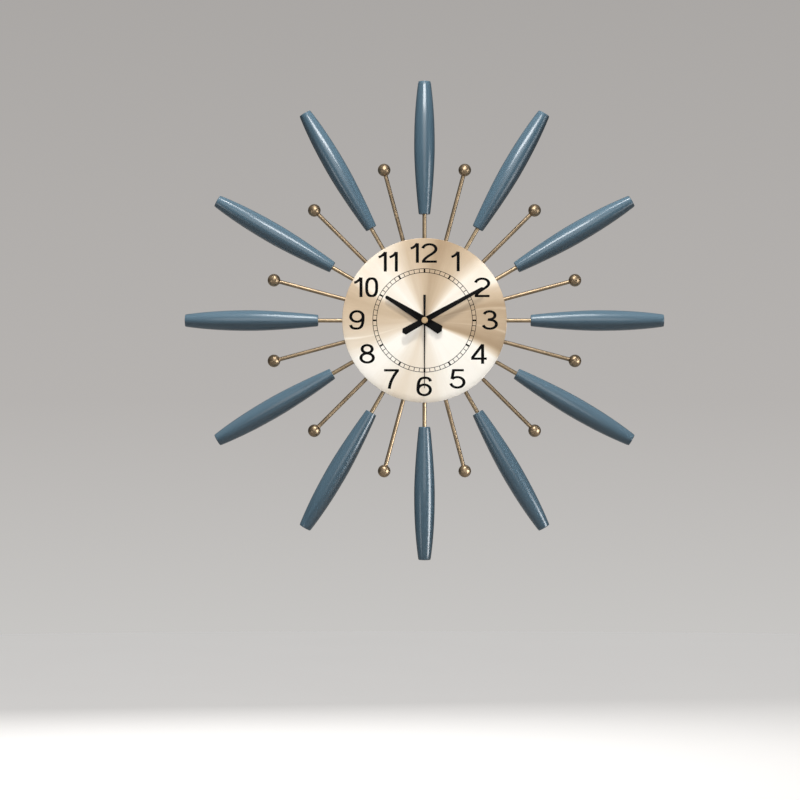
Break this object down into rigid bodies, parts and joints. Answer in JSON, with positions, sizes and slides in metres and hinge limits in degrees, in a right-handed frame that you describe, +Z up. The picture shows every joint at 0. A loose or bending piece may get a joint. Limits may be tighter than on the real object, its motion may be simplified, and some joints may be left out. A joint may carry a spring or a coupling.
{
  "type": "sunburst wall clock",
  "caption": "Wall clock with a battery movement behind a brushed metal dial, black hands, and a sunburst of rods ending in turned batons and balls.",
  "frame": {"origin": "on the hands' axis, at the back face that lies against the wall", "axes": "+Y into the wall, so the clock faces -Y; +Z up towards twelve; +X towards three"},
  "size_m": [0.6, 0.0475, 0.6],
  "materials": {
    "baton_blue": "satin",
    "brass": "satin",
    "dial_gold": "satin",
    "hub_black": "matte",
    "hand_black": "matte",
    "case_black": "matte",
    "gear_white": "satin",
    "steel": "satin",
    "copper": "satin",
    "board_green": "satin",
    "battery_shell": "satin"
  },
  "bodies": {
    "clock_body": {"baton_01": "baton_blue", "baton_02": "baton_blue", "baton_03": "baton_blue", "baton_04": "baton_blue", "baton_05": "baton_blue", "baton_06": "baton_blue", "baton_07": "baton_blue", "baton_08": "baton_blue", "baton_09": "baton_blue", "baton_10": "baton_blue", "baton_11": "baton_blue", "baton_12": "baton_blue", "baton_rod_01": "brass", "baton_rod_02": "brass", "baton_rod_03": "brass", "baton_rod_04": "brass", "baton_rod_05": "brass", "baton_rod_06": "brass", "baton_rod_07": "brass", "baton_rod_08": "brass", "baton_rod_09": "brass", "baton_rod_10": "brass", "baton_rod_11": "brass", "baton_rod_12": "brass", "ball_ray_01": "brass", "ball_ray_02": "brass", "ball_ray_03": "brass", "ball_ray_04": "brass", "ball_ray_05": "brass", "ball_ray_06": "brass", "ball_ray_07": "brass", "ball_ray_08": "brass", "ball_ray_09": "brass", "ball_ray_10": "brass", "ball_ray_11": "brass", "ball_ray_12": "brass", "dial_plate": "dial_gold", "hub_disc": "hub_black", "hanger": "steel", "hex_nut": "brass", "movement_case": "case_black", "movement_cover": "case_black", "circuit_board": "board_green", "drive_coil": "copper", "stator": "steel", "battery": "battery_shell", "contact_spring_negative": "steel", "contact_spring_positive": "steel"},
    "minute_unit": {"centre_wheel": "gear_white", "minute_hand": "hand_black"},
    "hour_unit": {"hour_wheel": "gear_white", "hour_hand": "hand_black"},
    "second_unit": {"second_wheel": "gear_white", "second_hand": "hand_black", "centre_cap": "brass"},
    "third_wheel_unit": {"third_wheel": "gear_white"},
    "fifth_wheel_unit": {"fifth_wheel": "gear_white"},
    "rotor_unit": {"stepper_rotor": "steel"},
    "minute_wheel_unit": {"minute_wheel": "gear_white"},
    "knob_unit": {"set_knob": "case_black"}
  },
  "joints": [
    {"name": "minute_hand_turn", "type": "hinge", "parent": "clock_body", "child": "minute_unit", "pos_m": [0, 0, 0], "axis": [0, 1, 0], "continuous": true},
    {"name": "hour_hand_turn", "type": "hinge", "parent": "clock_body", "child": "hour_unit", "pos_m": [0, 0, 0], "axis": [0, 1, 0], "continuous": true},
    {"name": "second_hand_turn", "type": "hinge", "parent": "clock_body", "child": "second_unit", "pos_m": [0, 0, 0], "axis": [0, 1, 0], "continuous": true},
    {"name": "third_wheel_turn", "type": "hinge", "parent": "clock_body", "child": "third_wheel_unit", "pos_m": [-0.00779, 0, 0.0045], "axis": [0, 1, 0], "continuous": true},
    {"name": "fifth_wheel_turn", "type": "hinge", "parent": "clock_body", "child": "fifth_wheel_unit", "pos_m": [0.00468, 0, 0.00811], "axis": [0, 1, 0], "continuous": true},
    {"name": "rotor_turn", "type": "hinge", "parent": "clock_body", "child": "rotor_unit", "pos_m": [0.00642, 0, 0.0146], "axis": [0, 1, 0], "continuous": true},
    {"name": "minute_wheel_turn", "type": "hinge", "parent": "clock_body", "child": "minute_wheel_unit", "pos_m": [0.0092, 0, 0], "axis": [0, 1, 0], "continuous": true},
    {"name": "set_knob_turn", "type": "hinge", "parent": "clock_body", "child": "knob_unit", "pos_m": [0.01785, 0, -0.00315], "axis": [0, 1, 0], "continuous": true}
  ],
  "couplings": [
    {"joint": "hour_hand_turn", "follows": "minute_hand_turn", "ratio": 0.083333},
    {"joint": "second_hand_turn", "follows": "minute_hand_turn", "ratio": 60},
    {"joint": "third_wheel_turn", "follows": "minute_hand_turn", "ratio": -8},
    {"joint": "fifth_wheel_turn", "follows": "minute_hand_turn", "ratio": -300},
    {"joint": "rotor_turn", "follows": "minute_hand_turn", "ratio": 1800},
    {"joint": "minute_wheel_turn", "follows": "minute_hand_turn", "ratio": -0.33333},
    {"joint": "set_knob_turn", "follows": "minute_hand_turn", "ratio": 1}
  ]
}
